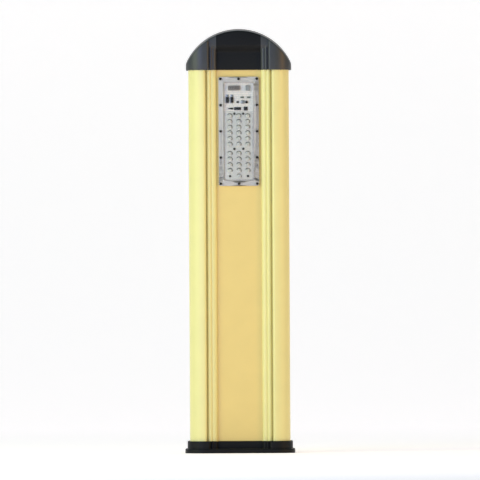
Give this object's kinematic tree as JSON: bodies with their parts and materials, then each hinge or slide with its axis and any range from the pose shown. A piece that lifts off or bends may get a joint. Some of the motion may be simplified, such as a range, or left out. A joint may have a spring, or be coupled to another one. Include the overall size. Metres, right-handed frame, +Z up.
{
  "type": "pedestrian crossing light column",
  "caption": "Low yellow street column with black domed cap and foot, LED light module behind a clear screwed window, and a hinged service door at the rear.",
  "frame": {"origin": "centre of the foot's underside, on the ground", "axes": "+X to the right seen from the front, the front with the LED module faces -Y, +Z up"},
  "size_m": [0.2592, 0.1824, 1],
  "materials": {
    "yellow_paint": "satin pale yellow powder coat on the extruded profiles",
    "panel_paint": "satin deeper yellow powder coat on panels and door",
    "black_casting": "satin black powder coat on cast aluminium",
    "galvanised": "zinc-plated steel",
    "stainless": "stainless steel",
    "black_screw": "black oxide steel",
    "anodised": "natural anodised die casting",
    "rubber": "black sealing rubber",
    "clear_window": "clear polycarbonate",
    "lens_clear": "moulded clear acrylic",
    "board_white": "white solder mask",
    "led_phosphor": "LED phosphor",
    "black_component": "moulded black epoxy or nylon",
    "capacitor_metal": "aluminium can",
    "varistor_green": "green epoxy",
    "white_nylon": "white nylon",
    "device_white": "light grey thermoset",
    "grey_plastic": "grey polyamide",
    "chrome": "chromed zinc",
    "brass": "brass",
    "cable_black": "black cable sheath",
    "wire_green": "green and yellow insulation",
    "wire_brown": "brown insulation",
    "wire_blue": "blue insulation"
  },
  "bodies": {
    "column": {"base_foot": "black_casting", "foot_screws": "stainless", "side_profile_right": "yellow_paint", "side_profile_left": "yellow_paint", "cap_plate": "galvanised", "cap_gasket": "rubber", "cap_plate_screws": "stainless", "cap_shell": "black_casting", "cap_screws": "black_screw", "cap_rivet_nuts": "galvanised", "front_panel": "panel_paint", "rear_panel_lower": "panel_paint", "rear_panel_upper": "panel_paint", "module_housing": "anodised", "module_gasket": "rubber", "module_window": "clear_window", "module_screws": "black_screw", "module_clamp_frame": "galvanised", "led_board": "board_white", "led_chips": "led_phosphor", "lens_plate": "lens_clear", "lens_screws": "black_screw", "driver_transistors": "black_component", "driver_chips": "black_component", "driver_coil_and_capacitor": "capacitor_metal", "driver_varistors": "varistor_green", "board_connector": "white_nylon", "board_fuse": "white_nylon", "module_gland": "grey_plastic", "door_seal": "rubber", "door_frame_bars": "galvanised", "hinge_knuckles_fixed": "stainless", "hinge_pins": "stainless", "cross_bar_lower": "galvanised", "cross_bar_upper": "galvanised", "cross_bar_screws": "stainless", "equipment_plate_screws": "stainless", "equipment_plate": "galvanised", "din_rail": "galvanised", "breaker_case": "device_white", "surge_arrester": "device_white", "terminal_blocks": "grey_plastic", "control_box": "grey_plastic", "control_lid": "device_white", "earth_stud": "brass", "supply_cable_clamp": "black_component", "module_cable": "cable_black", "earth_wire": "wire_green", "line_wire": "wire_brown", "neutral_wire": "wire_blue"},
    "door": {"service_door": "panel_paint", "hinge_knuckles_door": "stainless", "lock_barrel": "chrome", "lock_nut": "stainless"},
    "lock": {"lock_spindle": "chrome", "lock_cam": "galvanised"},
    "toggle": {"breaker_toggle": "black_component"}
  },
  "joints": [
    {"name": "door_hinge", "type": "hinge", "parent": "column", "child": "door", "pos_m": [-0.0493, 0.0635, 0.25], "axis": [0, 0, 1], "range_deg": [0, 110]},
    {"name": "lock_turn", "type": "hinge", "parent": "door", "child": "lock", "pos_m": [0.034, 0.0565, 0.25], "axis": [0, 1, 0], "range_deg": [0, 90]},
    {"name": "breaker_toggle_throw", "type": "hinge", "parent": "column", "child": "toggle", "pos_m": [-0.038, 0.0171, 0.29], "axis": [1, 0, 0], "range_deg": [-80, 0]}
  ]
}
